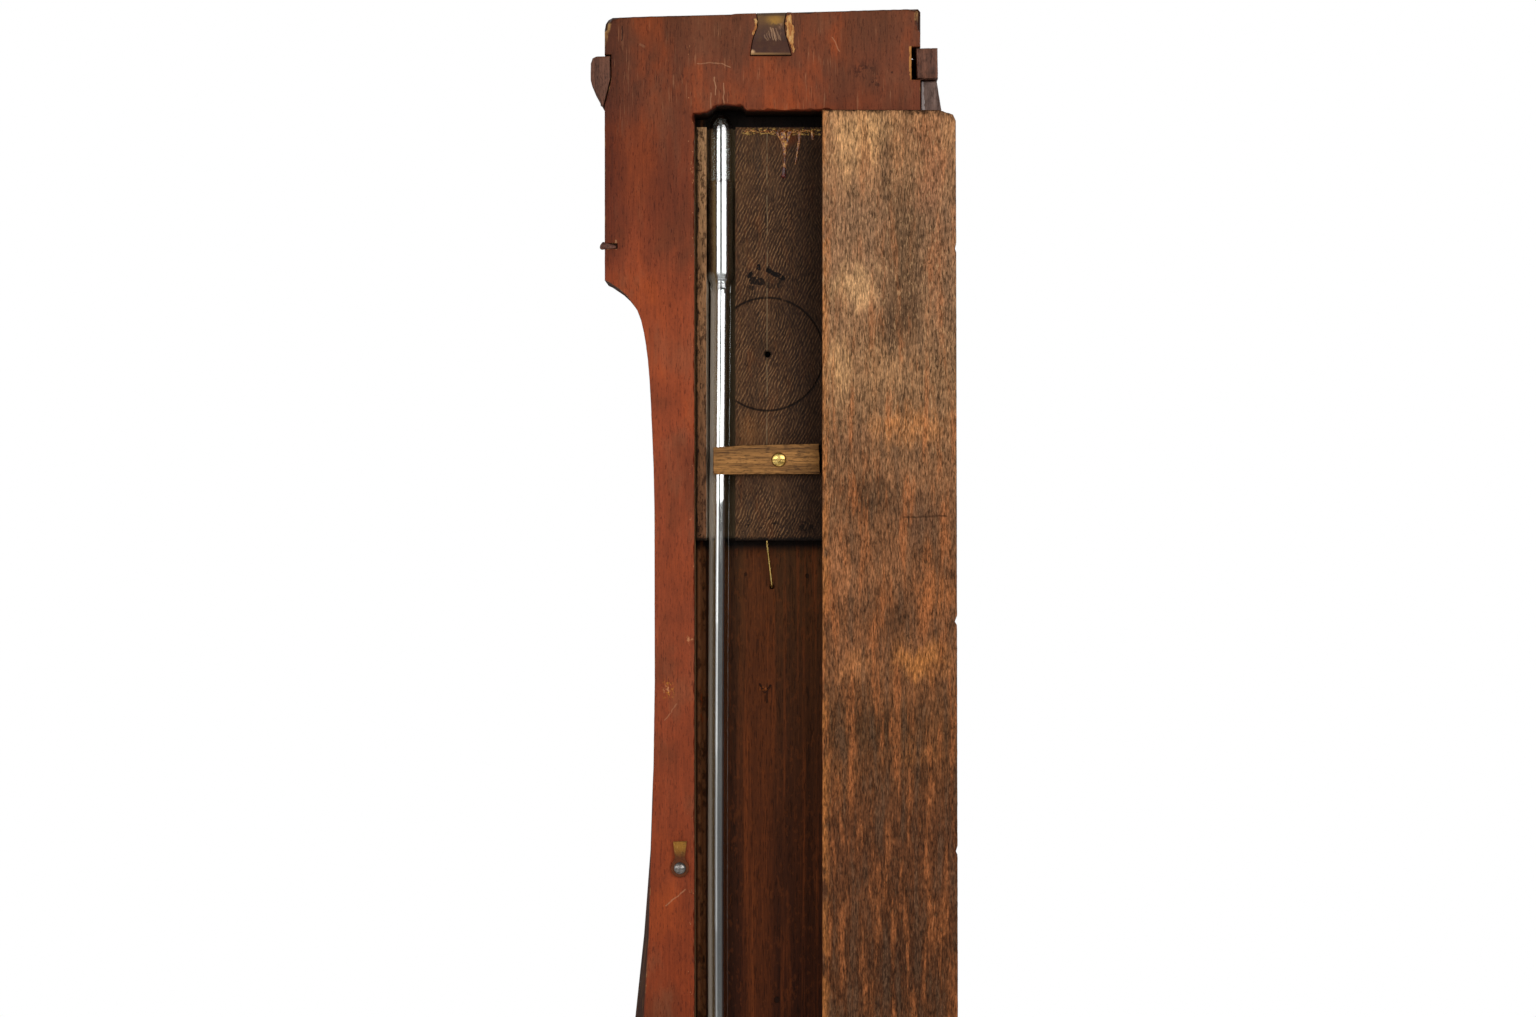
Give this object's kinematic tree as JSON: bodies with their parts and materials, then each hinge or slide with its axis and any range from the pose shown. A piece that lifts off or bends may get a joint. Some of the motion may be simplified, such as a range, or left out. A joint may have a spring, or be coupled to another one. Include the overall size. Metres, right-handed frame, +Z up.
{
  "type": "wheel barometer",
  "caption": "Antique mercury wheel barometer with a banjo case, open back door, siphon tube, float-driven dial hand, thermometer, hygrometer and level.",
  "frame": {"origin": "on the hanging plate's outer face, on the case's centreline, in the plane of the case back", "axes": "+Z up, +Y out of the back towards the wall, -Y out of the dial, +X to the right seen from the dial side"},
  "size_m": [0.2644, 0.0612, 0.9687],
  "materials": {
    "stained_back": "stained, worn",
    "raw_wood": "raw, aged",
    "inner_wood": "raw, toothed",
    "mahogany": "french polished",
    "dark_wood": "stained",
    "brass": "aged",
    "old_brass": "tarnished",
    "steel": "bright",
    "blued_steel": "blued",
    "iron": "rusty",
    "glass": "clear",
    "mercury": "liquid metal",
    "silvered_brass": "silvered",
    "bone": "turned bone",
    "thread": "twisted silk or gut"
  },
  "bodies": {
    "case": {"arbor_cock": "brass", "bezel_hinge_leaf": "brass", "bezel_hinge_pin": "steel", "case_back": "stained_back", "clamp_screw_lower": "brass", "clamp_screw_upper": "brass", "cock_screw": "steel", "cornice_end_left": "dark_wood", "cornice_end_right": "dark_wood", "cornice_front": "mahogany", "cornice_return_right": "mahogany", "dial": "silvered_brass", "dial_reveal": "silvered_brass", "float_thread": "thread", "front_board": "mahogany", "front_veneer": "mahogany", "hanging_plate": "old_brass", "hinge_lower_case_leaf": "brass", "hinge_lower_pin": "steel", "hinge_upper_case_leaf": "brass", "hinge_upper_pin": "steel", "hygrometer_bezel": "brass", "hygrometer_dial": "silvered_brass", "hygrometer_glass": "glass", "inner_board": "inner_wood", "level_plate": "brass", "level_vial": "glass", "mercury_bulb": "mercury", "mercury_column": "mercury", "mercury_cup": "mercury", "set_cord": "thread", "side_nail": "iron", "siphon_tube": "glass", "thermometer_box": "mahogany", "thermometer_glass": "glass", "thermometer_pin": "brass", "thermometer_scale": "silvered_brass", "thermometer_tube": "glass", "tube_clamp_lower": "inner_wood", "tube_clamp_upper": "inner_wood", "tube_rest_lower": "inner_wood", "turn_button_screw_lower": "steel", "turn_button_screw_upper": "steel"},
    "door": {"back_door": "raw_wood", "hinge_upper_door_leaf": "brass", "hinge_lower_door_leaf": "brass"},
    "button_upper": {"turn_button_upper": "brass"},
    "button_lower": {"turn_button_lower": "brass"},
    "pointer_work": {"pointer": "blued_steel", "pointer_arbor": "steel", "float_pulley": "brass"},
    "float": {"float": "iron"},
    "counterweight": {"counterweight": "brass"},
    "set_hand_work": {"set_sleeve": "brass", "set_hand": "brass"},
    "knob": {"set_spindle": "brass", "set_knob": "bone"},
    "bezel": {"bezel": "brass", "bezel_glass": "glass"},
    "needle": {"hygrometer_needle": "blued_steel"}
  },
  "joints": [
    {"name": "back_door_hinge", "type": "hinge", "parent": "case", "child": "door", "pos_m": [-0.0271, 0.0012, -0.46], "axis": [0, 0, -1], "range_deg": [0, 180]},
    {"name": "button_upper_turn", "type": "hinge", "parent": "case", "child": "button_upper", "pos_m": [0.035, 0.0009, -0.3526], "axis": [0, 1, 0], "continuous": true},
    {"name": "button_lower_turn", "type": "hinge", "parent": "case", "child": "button_lower", "pos_m": [0.035, 0.0009, -0.7], "axis": [0, 1, 0], "continuous": true},
    {"name": "pointer_turn", "type": "hinge", "parent": "case", "child": "pointer_work", "pos_m": [0, -0.0154, -0.746], "axis": [0, 1, 0], "range_deg": [-230, 130]},
    {"name": "float_slide", "type": "slide", "parent": "case", "child": "float", "axis": [0, 0, 1], "range_m": [-0.014, 0.0245], "deforming": ["mercury_cup", "float_thread"]},
    {"name": "counterweight_slide", "type": "slide", "parent": "case", "child": "counterweight", "axis": [0, 0, 1], "range_m": [-0.0245, 0.014], "deforming": ["mercury_bulb"]},
    {"name": "knob_turn", "type": "hinge", "parent": "case", "child": "knob", "pos_m": [0, -0.045, -0.8685], "axis": [0, 1, 0], "continuous": true},
    {"name": "set_hand_turn", "type": "hinge", "parent": "case", "child": "set_hand_work", "pos_m": [0, -0.03, -0.746], "axis": [0, 1, 0], "continuous": true},
    {"name": "bezel_hinge", "type": "hinge", "parent": "case", "child": "bezel", "pos_m": [-0.117, -0.0415, -0.746], "axis": [0, 0, -1], "range_deg": [0, 100]},
    {"name": "needle_turn", "type": "hinge", "parent": "case", "child": "needle", "pos_m": [-0.0021, -0.0374, -0.1344], "axis": [0, 1, 0], "range_deg": [-60, 60]}
  ],
  "couplings": [
    {"joint": "float_slide", "follows": "pointer_turn", "m_per_rad": -0.00606},
    {"joint": "counterweight_slide", "follows": "pointer_turn", "m_per_rad": 0.00606},
    {"joint": "set_hand_turn", "follows": "knob_turn", "ratio": 0.62687}
  ]
}
